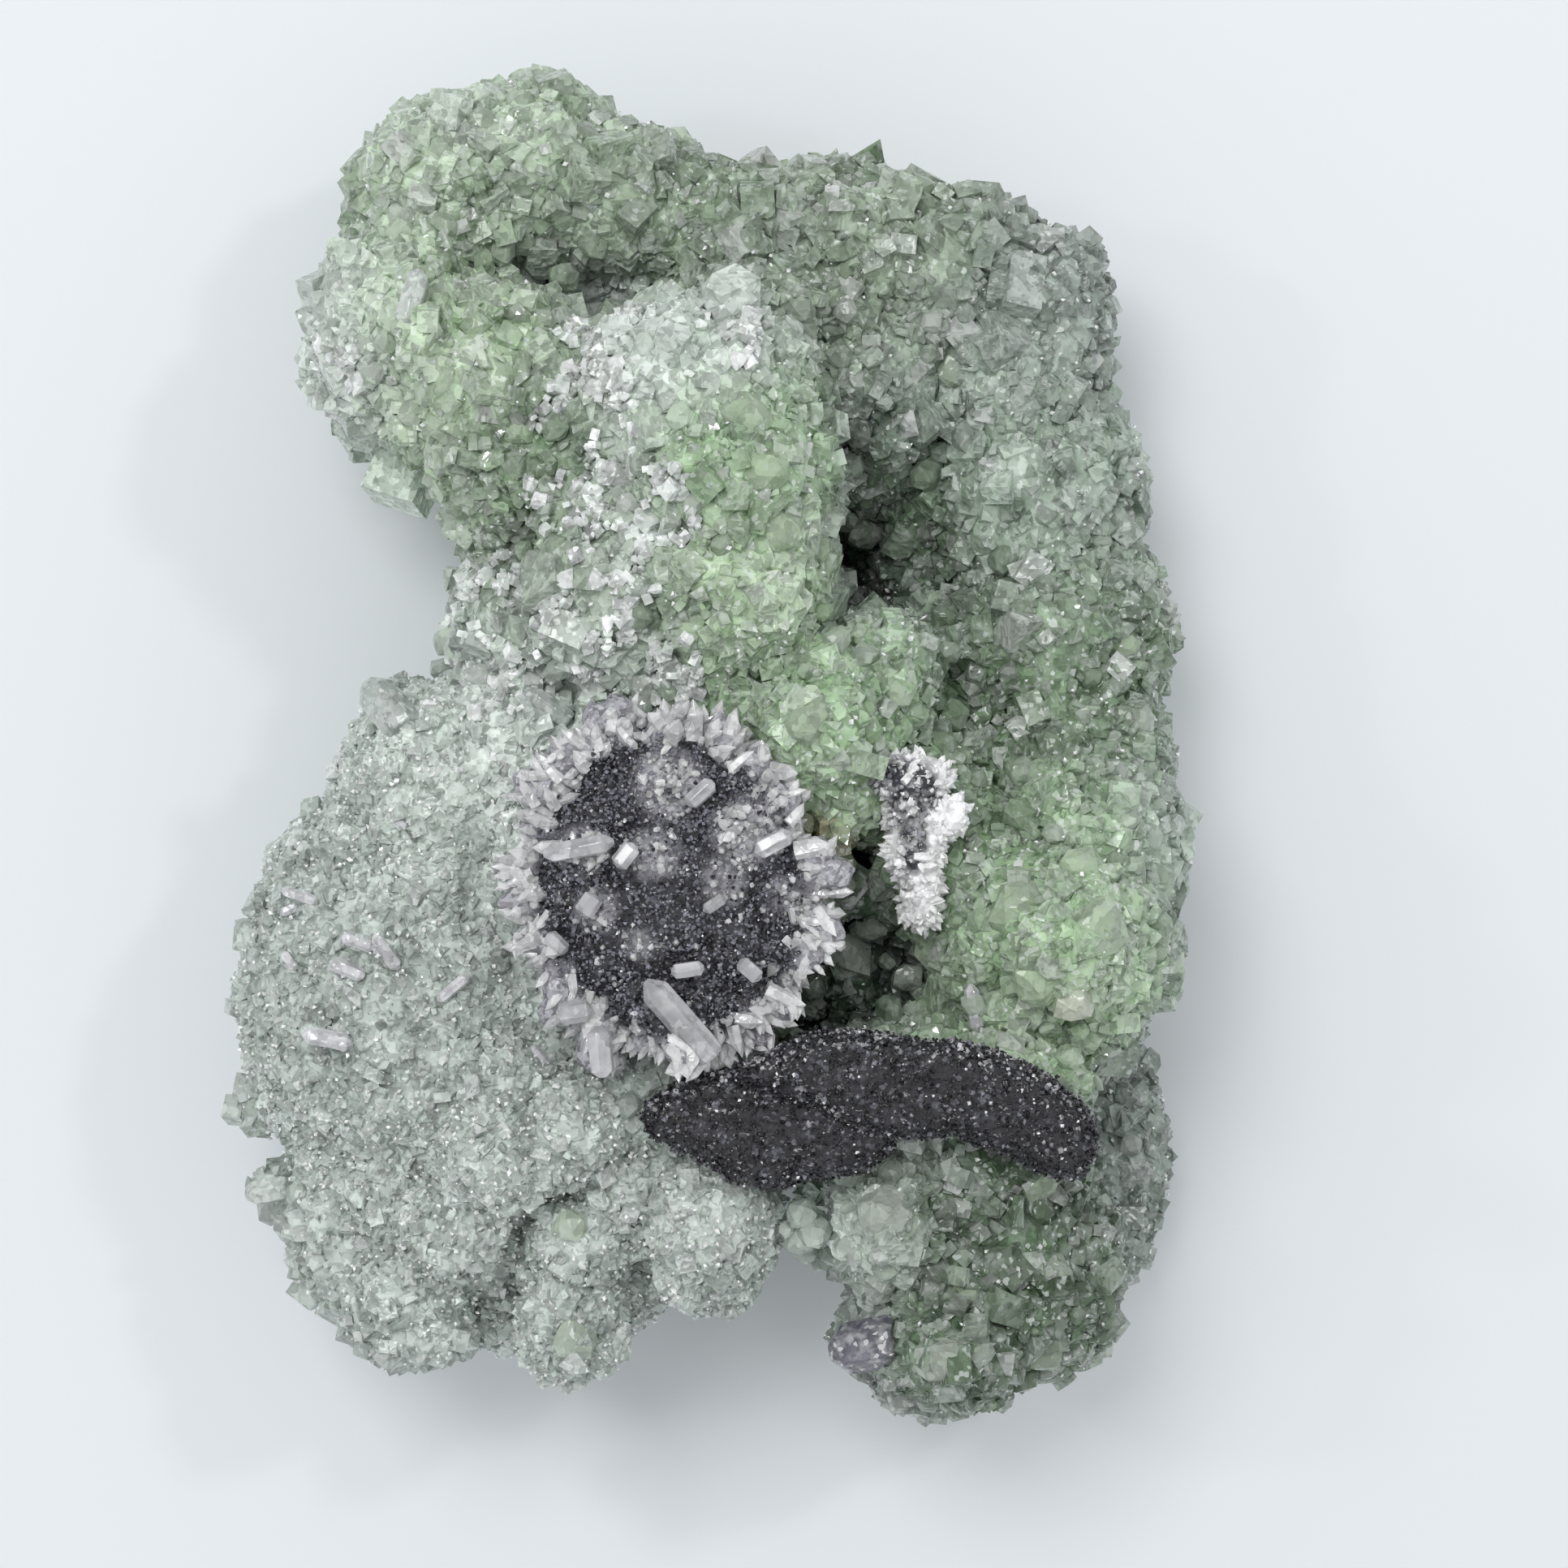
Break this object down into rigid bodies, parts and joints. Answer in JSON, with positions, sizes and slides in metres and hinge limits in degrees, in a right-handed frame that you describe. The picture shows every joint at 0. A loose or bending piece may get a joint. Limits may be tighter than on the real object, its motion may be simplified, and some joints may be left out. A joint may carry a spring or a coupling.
{
  "type": "fluorite specimen",
  "caption": "Knobbly green sugar fluorite crust with a quartz rosette, a dark druse blade and a small quartz spur, lying on its flat broken back.",
  "frame": {"origin": "centre of the bounding box in plan, on the plane of the flat back", "axes": "+Z out of the crystal face, +Y towards the specimen's top, +X to its right seen from the crystal face"},
  "size_m": [0.087, 0.1204, 0.0513],
  "materials": {
    "green_fluorite": "glassy sugary crystals",
    "dusted_quartz": "glassy points over dark druse",
    "dark_druse": "fine sparkling druse",
    "milky_quartz": "glassy milky quartz"
  },
  "bodies": {
    "root": {"fluorite_crust": "green_fluorite", "quartz_rosette": "dusted_quartz", "druse_blade": "dark_druse", "quartz_spur": "milky_quartz"}
  },
  "joints": []
}
